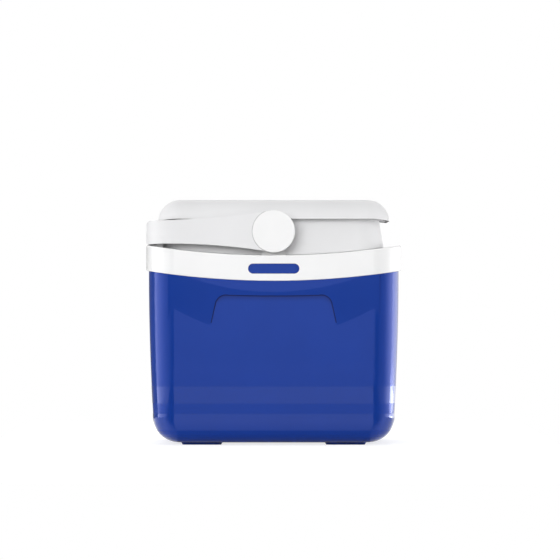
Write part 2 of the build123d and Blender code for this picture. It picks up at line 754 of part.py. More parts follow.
with BuildPart() as lid_liner:
    with BuildSketch(Plane.XY.offset(plug_flange_z)):
        RectangleRounded(2 * upstand_x, 2 * upstand_y, upstand_corner)
    extrude(amount=plug_upstand, taper=skirt_draft)
    with BuildSketch(Plane.XY.offset(plug_flange_z)):
        RectangleRounded(
            2 * (upstand_x - liner_wall), 2 * (upstand_y - liner_wall), upstand_corner - liner_wall
        )
    extrude(amount=plug_upstand, taper=skirt_draft, mode=Mode.SUBTRACT)
    with BuildSketch(Plane.XY.offset(plug_flange_z)):
        RectangleRounded(2 * upstand_x, 2 * upstand_y, upstand_corner)
    extrude(amount=plug_flange, taper=skirt_draft)
    with BuildSketch(Plane.XY.offset(plug_flange_z)):
        RectangleRounded(2 * plug_x, 2 * plug_y, plug_corner)
    extrude(amount=plug_bottom_z - plug_flange_z, taper=liner_draft)
    fillet(lid_liner.faces().sort_by(Axis.Z)[0].edges(), cavity_round)
    # hollow of the plug, open upwards
    with BuildSketch(Plane.XY.offset(plug_flange_z + plug_flange)):
        thin = liner_wall
        RectangleRounded(2 * (plug_x - thin), 2 * (plug_y - thin), plug_corner - thin)
    hollow_depth = plug_flange_z + plug_flange - plug_bottom_z - liner_wall
    extrude(amount=-hollow_depth, taper=liner_draft, mode=Mode.SUBTRACT)
    # groove for the seal
    with BuildSketch(Plane.XY.offset(plug_flange_z)):
        add(seal_ring(gasket_width / 2 + fit))
    extrude(amount=gasket_seat, mode=Mode.SUBTRACT)
finish(lid_liner, "lid_liner")

with BuildPart() as lid_gasket:
    with BuildSketch(Plane.XY.offset(land_z + seal_lift)):
        add(seal_ring(gasket_width / 2))
    extrude(amount=plug_flange_z + gasket_seat - fit - land_z - seal_lift)
    fillet(lid_gasket.faces().sort_by(Axis.Z)[0].edges(), gasket_round)
finish(lid_gasket, "lid_gasket")

# ---- Lid foam ------------------------------------------------------------------------------------

with BuildPart() as lid_foam:
    # under the cap
    with BuildSketch(Plane.XY.offset(blank_low_z)):
        RectangleRounded(2 * (inner_x - fit), 2 * (inner_y - fit), inner_corner - fit)
    extrude(amount=ceiling_z - fit - blank_low_z)
    fillet(lid_foam.faces().sort_by(Axis.Z)[-1].edges(), cap_round - lid_wall)
    with BuildSketch(Plane.XY.offset(frame_flange_z + frame_flange + fit)):
        Rectangle(2 * cap_half_x, 2 * cap_half_y)
    extrude(amount=-2 * cap_round, mode=Mode.SUBTRACT)
    # inside the plug
    with BuildSketch(Plane.XY.offset(plug_flange_z + plug_flange)):
        thin = liner_wall + fit
        RectangleRounded(2 * (plug_x - thin), 2 * (plug_y - thin), plug_corner - thin)
    extrude(amount=fit - hollow_depth, taper=liner_draft)
    # inside the upstand and the skirt
    with BuildSketch(Plane.XY.offset(plug_flange_z + plug_flange + fit)):
        thin = liner_wall + fit + plug_flange * tan(radians(skirt_draft))
        RectangleRounded(2 * (upstand_x - thin), 2 * (upstand_y - thin), upstand_corner - thin)
    extrude(amount=frame_flange_z + frame_flange - plug_flange_z - plug_flange, taper=skirt_draft)
    # core that joins the two
    with BuildSketch(Plane.XY.offset(plug_flange_z + plug_flange - overlap)):
        thin = liner_wall + fit + overlap
        RectangleRounded(2 * (plug_x - thin), 2 * (plug_y - thin), plug_corner - thin)
    extrude(amount=2 * overlap)
finish(lid_foam, "lid_foam")

# ---- Coolant packs, one against each wall of the cavity ------------------------------------------

pack_y = drafted(liner_half_y, cavity_floor_z, -liner_draft, land_z) - pack_wall_gap - pack_thick / 2
pack_x = drafted(liner_half_x, cavity_floor_z, -liner_draft, land_z) - pack_wall_gap - pack_thick / 2
pack_places = {
    "front": (0, -pack_y, 0),
    "back": (0, pack_y, 0),
    "left": (-pack_x, 0, 90),
    "right": (pack_x, 0, 90),
}
pack_low_z = cavity_floor_z + pack_stand

for name, (x, y, turn) in pack_places.items():
    upright = Plane(origin=(x, y, pack_low_z)).rotated((0, 0, turn))
    with BuildPart() as coolant_pack:
        with BuildSketch(upright):
            RectangleRounded(pack_width, pack_thick, pack_corner)
        extrude(amount=pack_body)
        fillet(coolant_pack.faces().sort_by(Axis.Z)[0].edges(), pack_edge)
        fillet(coolant_pack.faces().sort_by(Axis.Z)[-1].edges(), pack_edge)
        # stiffening panels on both broad faces
        for face_side in (-1, 1):
            face_plane = Plane(
                origin=upright.from_local_coords(Vector(0, face_side * pack_thick / 2, pack_body / 2)),
                x_dir=upright.x_dir,
                z_dir=upright.y_dir * face_side,
            )
            with BuildSketch(face_plane):
                RectangleRounded(*pack_panel, pack_edge)
            extrude(amount=-pack_panel_depth, taper=pack_panel_draft, mode=Mode.SUBTRACT)
        with BuildSketch(upright.offset(pack_body)):
            Circle(pack_neck_radius)
        extrude(amount=pack_neck)
    finish(coolant_pack, f"coolant_pack_{name}")

    with BuildPart() as pack_cap:
        with BuildSketch(upright.offset(pack_body + fit)):
            Circle(pack_cap_radius)
            with PolarLocations(pack_cap_radius, cap_grips):
                Circle(cap_grip_radius, mode=Mode.SUBTRACT)
        extrude(amount=pack_cap_height)
        with BuildSketch(upright.offset(pack_body)):
            Circle(pack_neck_radius + fit)
        extrude(amount=pack_neck + fit, mode=Mode.SUBTRACT)
    finish(pack_cap, f"pack_cap_{name}")
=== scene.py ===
# %% [markdown]
# # A vaccine carrier, dressed in Blender
#
# The carrier is a cold box for a health worker's round: a bowed blue tub with a white rim
# collar, a pale grey lid and a bail handle that swings on two hubs. Its rigid pieces come
# finished in shape from the CAD frame. This lesson gives each of them the surface of its
# real plastic, adds the small things that a moulder leaves behind, and lights the whole.

# %% Load the frame
import bpy
from math import cos, radians, sin
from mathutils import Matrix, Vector


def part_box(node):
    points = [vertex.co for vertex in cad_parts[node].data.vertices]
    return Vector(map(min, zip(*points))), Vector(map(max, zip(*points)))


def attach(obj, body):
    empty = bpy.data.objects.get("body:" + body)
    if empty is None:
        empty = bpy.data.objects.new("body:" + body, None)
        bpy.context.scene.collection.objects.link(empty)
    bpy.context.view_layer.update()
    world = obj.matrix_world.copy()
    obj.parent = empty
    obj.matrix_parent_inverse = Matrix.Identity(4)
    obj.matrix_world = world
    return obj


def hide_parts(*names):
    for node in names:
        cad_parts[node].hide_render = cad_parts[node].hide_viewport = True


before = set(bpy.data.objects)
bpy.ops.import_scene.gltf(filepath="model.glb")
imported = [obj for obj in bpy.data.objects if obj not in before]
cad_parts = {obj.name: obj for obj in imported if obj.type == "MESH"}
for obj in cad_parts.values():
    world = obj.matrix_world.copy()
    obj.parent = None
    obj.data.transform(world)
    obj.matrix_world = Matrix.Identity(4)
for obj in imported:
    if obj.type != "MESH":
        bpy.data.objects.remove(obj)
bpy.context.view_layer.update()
MM = 0.001

# %% [markdown]
# ## The camera
#
# A product picture is taken from far away through a long lens, so that upright edges stay
# parallel. The camera stands level with the collar and looks along +Y. Its lens could be
# tried out by eye, but it is surer to work it out from the width that the view has to show
# at the middle of the object.

# %% Place the camera
scene = bpy.context.scene
VIEW_WIDTH = 0.681
CAMERA_DISTANCE = 5.0
CAMERA_X = 0.0075
CAMERA_Z = 0.197

lens_data = bpy.data.cameras.new("camera")
lens_data.sensor_width = 36.0
lens_data.lens = lens_data.sensor_width * CAMERA_DISTANCE / VIEW_WIDTH
camera = bpy.data.objects.new("camera", lens_data)
camera.location = (CAMERA_X, -CAMERA_DISTANCE, CAMERA_Z)
camera.rotation_euler = (radians(90), 0, 0)
scene.collection.objects.link(camera)
scene.camera = camera
print("lens in mm:", round(lens_data.lens, 1))

# %% [markdown]
# ## A toolbox for node trees
#
# Materials are sums and products of patterns. Written as node calls they are hard to
# read, so a small class wraps an output socket and turns Python's operators into Math
# nodes: `0.3 + 0.1 * noise` is then a line of Python and a pair of nodes.

# %% Shader maths as expressions
class Wire:
    """An output socket that Python's operators can work with."""

    def __init__(self, shop, socket):
        self.shop = shop
        self.socket = socket

    def math(self, operation, *values):
        return self.shop.node("ShaderNodeMath", {"operation": operation}, dict(enumerate(values)))

    def __add__(self, other):
        return self.math("ADD", self, other)

    def __radd__(self, other):
        return self.math("ADD", other, self)

    def __sub__(self, other):
        return self.math("SUBTRACT", self, other)

    def __rsub__(self, other):
        return self.math("SUBTRACT", other, self)

    def __mul__(self, other):
        return self.math("MULTIPLY", self, other)

    def __rmul__(self, other):
        return self.math("MULTIPLY", other, self)

    def __truediv__(self, other):
        return self.math("DIVIDE", self, other)

    def __pow__(self, other):
        return self.math("POWER", self, other)

    def most(self, other):
        """The larger of two values."""
        return self.math("MAXIMUM", self, other)

    def above(self, level):
        """1 above a level and 0 below it."""
        return self.math("GREATER_THAN", self, level)

    def sizes(self):
        """The value without its sign."""
        return self.math("ABSOLUTE", self)

    def root(self):
        return self.math("SQRT", self)

    def ramp(self, low, high):
        """0 below low, 1 above high and smooth between them."""
        settings = {"interpolation_type": "SMOOTHSTEP"}
        inputs = {"Value": self, "From Min": low, "From Max": high}
        return self.shop.node("ShaderNodeMapRange", settings, inputs)

    def within(self, low, high, edge):
        """1 between low and high, with edges of a given softness."""
        return self.ramp(low - edge, low + edge) * (1 - self.ramp(high - edge, high + edge))


# %% [markdown]
# ## One method for every node
#
# Every other node comes from one method, `node`. It takes the node's type, then its
# settings, then the values or links of its sockets. Settings go first, because some of them
# change which sockets a node has. The short methods below it name the few combinations that
# this object needs again and again.

# %% A node tree under construction
WHITE = (1.0, 1.0, 1.0, 1.0)


class Shop:
    """A node tree under construction."""

    def __init__(self, tree):
        self.tree = tree
        tree.nodes.clear()

    def node(self, kind, settings=None, inputs=None, result=0):
        """Add a node: settings first, then values or links for its sockets."""
        made = self.tree.nodes.new(kind)
        for key, value in (settings or {}).items():
            setattr(made, key, value)
        for key, value in (inputs or {}).items():
            if isinstance(value, Wire):
                self.tree.links.new(value.socket, made.inputs[key])
            else:
                made.inputs[key].default_value = value
        return Wire(self, made.outputs[result]) if made.outputs else made

    def part(self, place, axis):
        """One coordinate of a place."""
        return self.node("ShaderNodeSeparateXYZ", None, {"Vector": place}, axis)

    def mix(self, factor, one, other):
        """A colour between two colours."""
        return self.node("ShaderNodeMix", {"data_type": "RGBA"}, {0: factor, 6: one, 7: other}, 2)

    def noise(self, place, scale, detail=2.0, roughness=0.5):
        inputs = {"Vector": place, "Scale": scale, "Detail": detail, "Roughness": roughness}
        return self.node("ShaderNodeTexNoise", None, inputs, "Fac")

    def cells(self, place, scale):
        """Distance to the middle of the nearest cell."""
        return self.node("ShaderNodeTexVoronoi", None, {"Vector": place, "Scale": scale})

    def stretched(self, place, scale):
        """The same place, scaled differently along X, Y and Z."""
        return self.node("ShaderNodeMapping", None, {"Vector": place, "Scale": scale})

    def bump(self, height):
        """The normals of a surface whose height is given in mm."""
        inputs = {"Strength": 1.0, "Distance": MM, "Height": height}
        return self.node("ShaderNodeBump", None, inputs)

    def glow(self, strength):
        """White light of one strength, where 1 is the white of the room."""
        return self.node("ShaderNodeEmission", None, {"Color": WHITE, "Strength": strength})

    def between(self, factor, one, other):
        """A shader between two shaders."""
        return self.node("ShaderNodeMixShader", None, {0: factor, 1: one, 2: other})

    def show(self, surface):
        """End a material's tree with its output."""
        self.node("ShaderNodeOutputMaterial", None, {"Surface": surface})


# %% Colours and new materials
def srgb(red, green, blue):
    """A colour from its screen values 0 to 255, as Blender's linear numbers."""
    def linear(value):
        value /= 255
        return value / 12.92 if value <= 0.04045 else ((value + 0.055) / 1.055) ** 2.4
    return (linear(red), linear(green), linear(blue), 1.0)


def darker(colour, share):
    """A share of a colour's light."""
    return tuple(share * value for value in colour[:3]) + (1.0,)


def new_material(name):
    """A material, its tree, and the place on the object that its patterns read."""
    material = bpy.data.materials.new(name)
    material.use_nodes = True
    shop = Shop(material.node_tree)
    return material, shop, shop.node("ShaderNodeTexCoord", result="Object")


print("a screen grey of 128 is", round(srgb(128, 128, 128)[0], 3), "in linear numbers")

# %% [markdown]
# ## The studio
#
# Glossy plastic shows the room it stands in. The room here is white all round. The world
# shows its full white in reflections and to the camera, and lights the object less, so that
# the lamps can model its form. Even light alone would flatten the shallow steps of this
# shape. A little less light comes from below than from above, as over any floor.

# %% The world
AMBIENT = 0.55
FROM_BELOW = 0.38
HORIZON_LOW, HORIZON_HIGH = -0.35, 0.1
world = bpy.data.worlds.new("white_room")
world.use_nodes = True
scene.world = world
room = Shop(world.node_tree)


def seen_directly(shop):
    """1 where the camera, a reflection or a view through something sees the surface."""
    rays = "ShaderNodeLightPath"
    seen = shop.node(rays, result="Is Camera Ray").most(shop.node(rays, result="Is Glossy Ray"))
    return seen.most(shop.node(rays, result="Is Transmission Ray"))


sky = room.node("ShaderNodeTexCoord", result="Generated")
above = room.part(sky, "Z").ramp(HORIZON_LOW, HORIZON_HIGH)
strength = FROM_BELOW + (AMBIENT - FROM_BELOW) * above
dim = room.node("ShaderNodeBackground", None, {"Color": WHITE, "Strength": strength})
full = room.node("ShaderNodeBackground", None, {"Color": WHITE, "Strength": 1.0})
both = room.between(seen_directly(room), dim, full)
room.node("ShaderNodeOutputWorld", None, {"Surface": both})
print("the world lights the object with", AMBIENT, "and from below with", FROM_BELOW)

# %% [markdown]
# ## Lamps
#
# A large soft lamp in front, a little to the left, lights the face. One at each side lights
# the ends, and one behind keeps the back and the lid's top at the same plain level. Their
# reflections are left to the cards of the next step, which have the shapes that gloss wants.
#
# A lamp's place is given as a photographer would say it: an azimuth, turned from the front
# towards the right, an elevation and a distance. Its brightness is given as a radiance,
# where 1 is the white of the room, and is turned into watts for the lamp's area.

# %% Softboxes by direction
MIDDLE_Z = 0.12
WATTS_PER_SQUARE_METRE = 4


def direction(azimuth, elevation, distance):
    """A point seen from the object's middle, with angles in degrees from the front."""
    turn, rise = radians(azimuth), radians(elevation)
    x = sin(turn) * cos(rise) * distance
    y = -cos(turn) * cos(rise) * distance
    return Vector((x, y, MIDDLE_Z + sin(rise) * distance))


def softbox(name, azimuth, elevation, distance, width, height, radiance):
    """A rectangular lamp that faces the object's middle and is never seen itself."""
    lamp_data = bpy.data.lights.new(name, "AREA")
    lamp_data.shape = "RECTANGLE"
    lamp_data.size = width
    lamp_data.size_y = height
    lamp_data.energy = radiance * WATTS_PER_SQUARE_METRE * width * height
    lamp = bpy.data.objects.new(name, lamp_data)
    lamp.location = direction(azimuth, elevation, distance)
    towards = Vector((0, 0, MIDDLE_Z)) - lamp.location
    lamp.rotation_euler = towards.to_track_quat("-Z", "Y").to_euler()
    lamp.visible_camera = False
    lamp.visible_glossy = False
    scene.collection.objects.link(lamp)
    print(name, "watts:", round(lamp_data.energy, 1))


softbox("lamp_front", -15, 17, 3.0, width=1.8, height=1.2, radiance=5.3)
softbox("lamp_left", -98, 0, 2.5, width=1.0, height=1.0, radiance=4.8)
softbox("lamp_right", 98, 0, 2.5, width=1.0, height=1.0, radiance=6.5)
softbox("lamp_back", 180, 40, 3.0, width=1.8, height=1.2, radiance=3.2)

# %% [markdown]
# ## Cards for the reflections
#
# A rounded corner is a mirror that sweeps the room. Cards that grow brighter towards the
# side draw the line of light that runs down each corner, and they start from black, which
# gives the dark line beside it. A low strip on the right is brighter still, and flashes in
# the right end of the upper polished band. A black card low in front deepens the yoke,
# which leans forward and so looks down at it. The others reach only a little above and
# below the object, so that a wall seen from higher up mirrors the plain room instead of
# them. The cards are there for reflections only: lamps in their place would light the
# colours too.

# %% Curved cards with a fading shade
CARD_DISTANCE = 3.0
CARD_STEPS = 16


def curved_board(name, start, end, low, high, away):
    """An upright strip of an arc round the object, which only reflections see."""
    points = []
    for step in range(CARD_STEPS + 1):
        turn = radians(start + (end - start) * step / CARD_STEPS)
        for height in (low, high):
            points.append((sin(turn) * away, -cos(turn) * away, height))
    faces = [(2 * n, 2 * n + 2, 2 * n + 3, 2 * n + 1) for n in range(CARD_STEPS)]
    mesh = bpy.data.meshes.new(name)
    mesh.from_pydata(points, [], faces)
    board = bpy.data.objects.new(name, mesh)
    scene.collection.objects.link(board)
    board.visible_camera = False
    board.visible_diffuse = False
    board.visible_shadow = False
    return board


def card(name, azimuths, heights, shades, fade=1.0, nearer=0.0):
    """A curved card whose shade runs from one to another between its two azimuths."""
    start, end = azimuths
    board = curved_board(name, start, end, *heights, CARD_DISTANCE - nearer)
    paint, shop, place = new_material(name)
    x, y = shop.part(place, "X"), shop.part(place, "Y")
    along = (x.math("ARCTAN2", x, -1 * y) - radians(start)) / radians(end - start)
    first, last = (shop.glow(shade) for shade in shades)
    shop.show(shop.between(along**fade, first, last))
    board.data.materials.append(paint)
    print(name, "shades from", shades[0], "to", shades[1])


card("black_low", (-14, 14), (-1.6, -0.21), (0.0, 0.0))
card("rising_left", (-7.5, -42), (-0.36, 0.32), (0.0, 1.1))
card("rising_right", (12, 57), (-0.36, 0.32), (0.0, 0.8))
card("grey_far_left", (-175, -98), (-0.27, 0.32), (0.25, 0.25))
card("bright_left", (-42, -98), (-0.3, 0.32), (1.1, 3.7), fade=1.1)
card("bright_right", (57, 82), (-0.3, 0.32), (0.9, 3.1), fade=1.1)
card("side_right", (82, 97), (-0.3, 0.32), (3.1, 3.1))
card("bright_far_right", (97, 150), (-0.27, 0.32), (5.2, 1.5))
card("strip_right", (94, 125), (-0.27, -0.15), (10.0, 10.0), nearer=0.05)

# %% [markdown]
# ## The floor
#
# The floor is pale and plain. To the camera it shows as white as the room, and keeps the
# object's shadow, because part of its white is light that falls on it. To the light that
# bounces up it is a plain light grey.

# %% A small pale floor
FLOOR_FRONT, FLOOR_BACK, FLOOR_HALF = -1.0, 0.7, 0.34
FLOOR_OWN_WHITE = 0.76
FLOOR_MATT = 0.42
FLOOR_BOUNCE = 0.8

floor_mesh = bpy.data.meshes.new("floor")
corners = [(-FLOOR_HALF, FLOOR_FRONT, 0), (FLOOR_HALF, FLOOR_FRONT, 0)]
corners += [(FLOOR_HALF, FLOOR_BACK, 0), (-FLOOR_HALF, FLOOR_BACK, 0)]
floor_mesh.from_pydata(corners, [], [(0, 1, 2, 3)])
floor = bpy.data.objects.new("floor", floor_mesh)
scene.collection.objects.link(floor)
floor_paint, shop, place = new_material("floor_paint")
matt, bounce = (
    shop.node("ShaderNodeBsdfDiffuse", None, {"Color": (grey, grey, grey, 1.0)})
    for grey in (FLOOR_MATT, FLOOR_BOUNCE)
)
pale = shop.node("ShaderNodeAddShader", None, {0: matt, 1: shop.glow(FLOOR_OWN_WHITE)})
plain = shop.between(seen_directly(shop), bounce, pale)
print("floor in m:", 2 * FLOOR_HALF, "by", FLOOR_BACK - FLOOR_FRONT)

# %% [markdown]
# ## What the walls see in the floor
#
# A polished wall mirrors the floor at a low angle, far in front of the object. Plain white
# there lightens the low bands a little, and washes out much of the wall when it is seen
# from above, so reflections get a shade of their own. It is dim close to the object's face,
# lighter further out, and darkest in the diagonal directions that the corners look in. A
# darker floor would do the same, but the camera would see it too. The shade belongs to this
# studio and not to the carrier: in another room the walls mirror what is there.

# %% A sheen for reflections only
FACE_END, FACE_FRONT = 0.115, 0.095
DIM_AHEAD, LIGHT_AHEAD = 0.3, 0.8
DARK_ASIDE, DIM_ASIDE, LIGHT_ASIDE = 0.12, 0.72, 1.12
SHEEN_TOP = 1.2
AHEAD_FADE = (0.13, 0.3)  # metres in front of the middle
CLOSE_FADE = (0.14, 0.26)
ASIDE_FADE = (0.1, 0.16)  # slants away from the face
OPEN_FADE = (0.35, 1.8)
LEAST_GAP = 0.01

x, y = shop.part(place, "X").sizes(), shop.part(place, "Y").sizes()
ahead = DIM_AHEAD + (LIGHT_AHEAD - DIM_AHEAD) * y.ramp(*AHEAD_FADE)
slant = (x - FACE_END) / (y - FACE_FRONT).most(LEAST_GAP)
aside = slant.ramp(*ASIDE_FADE)
near = 1 - y.ramp(*CLOSE_FADE)
dark = DARK_ASIDE + (DIM_ASIDE - DARK_ASIDE) * near
beside = dark + (LIGHT_ASIDE - dark) * slant.ramp(*OPEN_FADE)
mirrored = ahead * (1 - aside) + beside * aside
sheen = shop.between(mirrored / SHEEN_TOP, shop.glow(0.0), shop.glow(SHEEN_TOP))
in_gloss = shop.node("ShaderNodeLightPath", result="Is Glossy Ray")
shop.show(shop.between(in_gloss, plain, sheen))
floor_mesh.materials.append(floor_paint)
print("the floor's paint has", len(shop.tree.nodes), "nodes")

# %% [markdown]
# ## Moulded plastic
#
# Most of the carrier is injection-moulded. Such a skin isn't quite even: the melt leaves
# faint clouds of tone, the polished steel of the tool leaves a slight orange peel, and use
# leaves short hairlines that catch the light. Each could be painted by hand, but noise at
# the right scale gives all three and never runs out at an edge. One function makes this
# skin, because only colour, gloss and the depth of the texture differ between the pieces.

# %% Surface patterns
HAIRLINE_DEPTH_MM = 0.002


def clouds(shop, place):
    """Broad patches of tone, a few centimetres across."""
    return shop.noise(place, 14.0, 3.0).ramp(0.3, 0.7)


def hairlines(shop, place):
    """Sparse fine scratches along the length and up the height."""
    along = shop.noise(shop.stretched(place, (30, 900, 1500)), 1.0, 0.0).ramp(0.78, 0.84)
    upward = shop.noise(shop.stretched(place, (1500, 900, 40)), 1.0, 0.0).ramp(0.79, 0.85)
    return along.most(upward)


def finish(material, shop, skin):
    """Close a tree with one Principled shader and the output."""
    shop.show(shop.node("ShaderNodeBsdfPrincipled", None, skin))
    print(material.name, "has", len(shop.tree.nodes), "nodes")
    return material


# %% Injection-moulded skin
# The colour of painted shade: dark lines where shade falls in a gap or under a rim.
SHADE_LINE_COLOUR = srgb(70, 69, 67)
SHADE_LINE_ROUGHNESS = 0.3
CLOUD_SHADE = 0.965
PEEL_SCALE, GRAIN_SCALE = 260.0, 2600.0


def moulded(name, colour, roughness, peel=0.012, grain=0.0, level=0.5, shade_lines=None):
    """Moulded plastic. Peel and grain are depths in mm, and the last argument says where a line
    of painted shade darkens the tone.
    """
    material, shop, place = new_material(name)
    cloud = clouds(shop, place)
    scratches = hairlines(shop, place)
    tone = shop.mix(cloud, colour, darker(colour, CLOUD_SHADE))
    gloss = roughness + 0.04 * cloud + 0.08 * scratches
    # painted shade: a darker colour mixed in along a mask where shade falls
    if shade_lines:
        shade_line = shade_lines(shop, place)
        tone = shop.mix(shade_line, tone, SHADE_LINE_COLOUR)
        gloss = gloss + SHADE_LINE_ROUGHNESS * shade_line
    relief = shop.noise(place, PEEL_SCALE, 2.0) * peel
    relief = relief + shop.noise(place, GRAIN_SCALE, 1.0) * grain
    skin = {
        "Base Color": tone,
        "Roughness": gloss,
        "Specular IOR Level": level,
        "Normal": shop.bump(relief - HAIRLINE_DEPTH_MM * scratches),
    }
    return finish(material, shop, skin)


# %% [markdown]
# ## Painted shade lines
#
# Two thin dark lines are painted shade: the shade in the gap round each hub cap, and the
# shadow along the lower edge of the lid's hanging rim. The first is a thin ring about the
# pivot, drawn by the distance from the pivot's axis. The second is a narrow strip above the
# rim's edge, and follows it where the edge hangs lower at the lid's ends. Both are masks in
# the solid's own numbers, so they stay on the edge that they belong to.

# %% Masks for the painted shade
PIVOT_Z_MM = 255.0
HUB_RADIUS_MM = 25.3
HUB_RING_MM = (-0.8, 0.7)
HUB_RING_EDGE_MM = 0.4
HUB_SHADE = 0.41
RIM_EDGE_MM = 269.5
RIM_LEVEL_MM = 118.0
RIM_END_MM = 138.4
RIM_DROP_MM = 2.3
RIM_DROP_CURVE = 1.45
RIM_STRIP_MM = (0.2, 0.7)
RIM_SHADE = 0.95


def shade_round_the_hubs(shop, place):
    """A thin ring of painted shade in the gap round the caps of the hubs."""
    x = shop.part(place, "X") / MM
    z = shop.part(place, "Z") / MM - PIVOT_Z_MM
    beyond = (x * x + z * z).root() - HUB_RADIUS_MM
    return beyond.within(*HUB_RING_MM, HUB_RING_EDGE_MM) * HUB_SHADE


def shade_along_the_rim(shop, place):
    """A narrow strip of painted shadow along the lower edge of the lid's rim."""
    x = shop.part(place, "X").sizes() / MM
    z = shop.part(place, "Z") / MM
    past_level = ((x - RIM_LEVEL_MM) / (RIM_END_MM - RIM_LEVEL_MM)).most(0.0)
    edge = RIM_EDGE_MM - RIM_DROP_MM * past_level**RIM_DROP_CURVE
    return (1 - (z - edge).ramp(*RIM_STRIP_MM)) * RIM_SHADE


print("the rim's edge lies at", RIM_EDGE_MM, "mm and", RIM_EDGE_MM - RIM_DROP_MM, "at its ends")

# %% [markdown]
# ## The edge of the hand recess
#
# Where the hand recess cuts into the leaning yoke, the two faces meet in a crease. Its shade
# is painted: a fine dark line along the crease, and a soft painted shadow on the recess's
# side of it, under its top. The line could be a thin piece of its own, but it is only a change
# of colour, so it is a mask: the distance to a rounded outline, worked out from the recess's
# sizes. Two lines and the arc between them are enough, because its left and right halves
# mirror each other, and the back of the tub is like its front.

# %% Distance to the recess's outline
RECESS_TOP_MM = 178.0
RECESS_RISE_MM = 1.2
RECESS_TOP_HALF_MM = 67.0
RECESS_LOW_HALF_MM = 80.0
RECESS_SIDE_MM = 58.2
RECESS_CORNER_MM = 13.0
RECESS_END_MM = 146.0
CREASE_HALF_MM = 0.6
CREASE_EDGE_MM = 0.35
CREASE_STRENGTH = 0.8
SHADE_REACH_MM = 8.0
SHADE_STOP_MM = 0.5
SHADE_RISE_MM = (166.0, 176.0)
SHADE_STRENGTH = 0.32


def recess_outline(x, z):
    """Distance in mm to the hand recess's outline, negative inside it."""
    slope = (RECESS_LOW_HALF_MM - RECESS_TOP_HALF_MM) / RECESS_SIDE_MM
    lean = (1 + slope**2) ** 0.5
    top_end = RECESS_TOP_MM + RECESS_RISE_MM
    from_side = (x - RECESS_TOP_HALF_MM + (z - top_end) * slope) / lean
    from_top = z - RECESS_TOP_MM - x * x * (RECESS_RISE_MM / RECESS_TOP_HALF_MM**2)
    # the corner is an arc about a point that lies one radius inside both lines
    across = x - (RECESS_TOP_HALF_MM + RECESS_CORNER_MM * (slope - lean))
    up = z - (top_end - RECESS_CORNER_MM)
    from_arc = (across * across + up * up).root() - RECESS_CORNER_MM
    in_corner = from_side.above(-RECESS_CORNER_MM) * from_top.above(-RECESS_CORNER_MM)
    straight = from_side.most(from_top)
    return straight + in_corner * (from_arc - straight)


def crease(shop, place):
    """A painted shade line on the recess's outline, and a soft painted shadow under its top."""
    x = shop.part(place, "X").sizes() / MM
    z = shop.part(place, "Z") / MM
    gap = recess_outline(x, z)
    line = gap.within(-CREASE_HALF_MM, CREASE_HALF_MM, CREASE_EDGE_MM) * CREASE_STRENGTH
    soft = gap.ramp(-SHADE_REACH_MM, SHADE_STOP_MM) * (1 - gap.above(SHADE_STOP_MM))
    soft = soft * z.ramp(*SHADE_RISE_MM) * SHADE_STRENGTH
    return line.most(soft) * z.ramp(RECESS_END_MM - 1, RECESS_END_MM + 1)


print("the recess is", 2 * RECESS_TOP_HALF_MM, "mm wide at its top")

# %% [markdown]
# ## The tub's blue wall
#
# The tub is dyed through in one deep blue and comes out of its tool glossy. The pigment
# sits close under the skin and tints what the wall reflects. The dye is written darker than
# the wall looks, because those reflections add their light to it. Two bands round the tub were
# polished further. They mirror the room a second time, as if under a thin clear coat, so a
# coat with a low index is put exactly on them, by a mask on the height in the same numbers
# as the solid. Low down, where the tub slides on floors, its edges are scuffed pale.

# %% Blue wall with polished bands
BANDS_MM = ((18.0, 37.6), (49.9, 70.3))
BAND_EDGE_MM = 0.15
SCUFF_TOP_MM = 9.0
SCUFFS = 0.15
BLUE = srgb(13, 54, 142)
BLUE_CLOUD_SHADE = 0.95
SCUFFED_BLUE = srgb(60, 88, 158)
# The colour of the painted shade along the hand recess's crease.
RECESS_SHADE_COLOUR = (0.0, 0.0, 0.01, 1.0)
BLUE_MIRROR = (0.3, 0.36, 0.9, 1.0)


def tub_wall(name):
    material, shop, place = new_material(name)
    height = shop.part(place, "Z") / MM
    lower, upper = (height.within(low, high, BAND_EDGE_MM) for low, high in BANDS_MM)
    band = lower + upper
    cloud = clouds(shop, place)
    scratches = hairlines(shop, place)
    rubbed = shop.noise(shop.stretched(place, (90, 90, 500)), 1.0, 3.0).ramp(0.56, 0.7)
    rubbed = rubbed * (1 - height.ramp(0.0, SCUFF_TOP_MM)) * SCUFFS
    blue = shop.mix(cloud, BLUE, darker(BLUE, BLUE_CLOUD_SHADE))
    # painted shade and shadow along the hand recess's crease
    blue = shop.mix(crease(shop, place), blue, RECESS_SHADE_COLOUR)
    relief = shop.noise(place, 240.0, 2.0) * 0.012 + shop.noise(place, 2200.0, 1.0) * 0.004
    skin = {
        "Base Color": shop.mix(rubbed, blue, SCUFFED_BLUE),
        "Roughness": 0.14 - 0.1 * band + 0.02 * cloud + 0.05 * scratches + 0.2 * rubbed,
        "Specular IOR Level": 1.0,
        "Specular Tint": BLUE_MIRROR,
        "Coat Weight": band,
        "Coat IOR": 1.27,
        "Coat Roughness": 0.03,
        "Normal": shop.bump(relief * (1 - 0.7 * band) - HAIRLINE_DEPTH_MM * scratches),
    }
    return finish(material, shop, skin)


# %% [markdown]
# ## Rubber, zinc and foam
#
# The small parts have their own surfaces. Seal rubber is dull and dusty with talc. The
# screws and washers are zinc-plated, a metal with a fine crystalline mottle, which the
# cells of a Voronoi pattern give. The foam is only seen on a cut, where it is a field of
# small bubbles, and the same pattern, at a smaller size, gives those.

# %% Seal rubber
def seal_rubber(name):
    material, shop, place = new_material(name)
    talc = shop.noise(place, 90.0, 4.0, 0.6).ramp(0.45, 0.75)
    skin = {
        "Base Color": shop.mix(talc, srgb(84, 86, 88), srgb(108, 109, 110)),
        "Roughness": 0.62 + 0.2 * talc,
        "Normal": shop.bump(shop.noise(place, 1200.0, 2.0) * 0.01),
    }
    return finish(material, shop, skin)


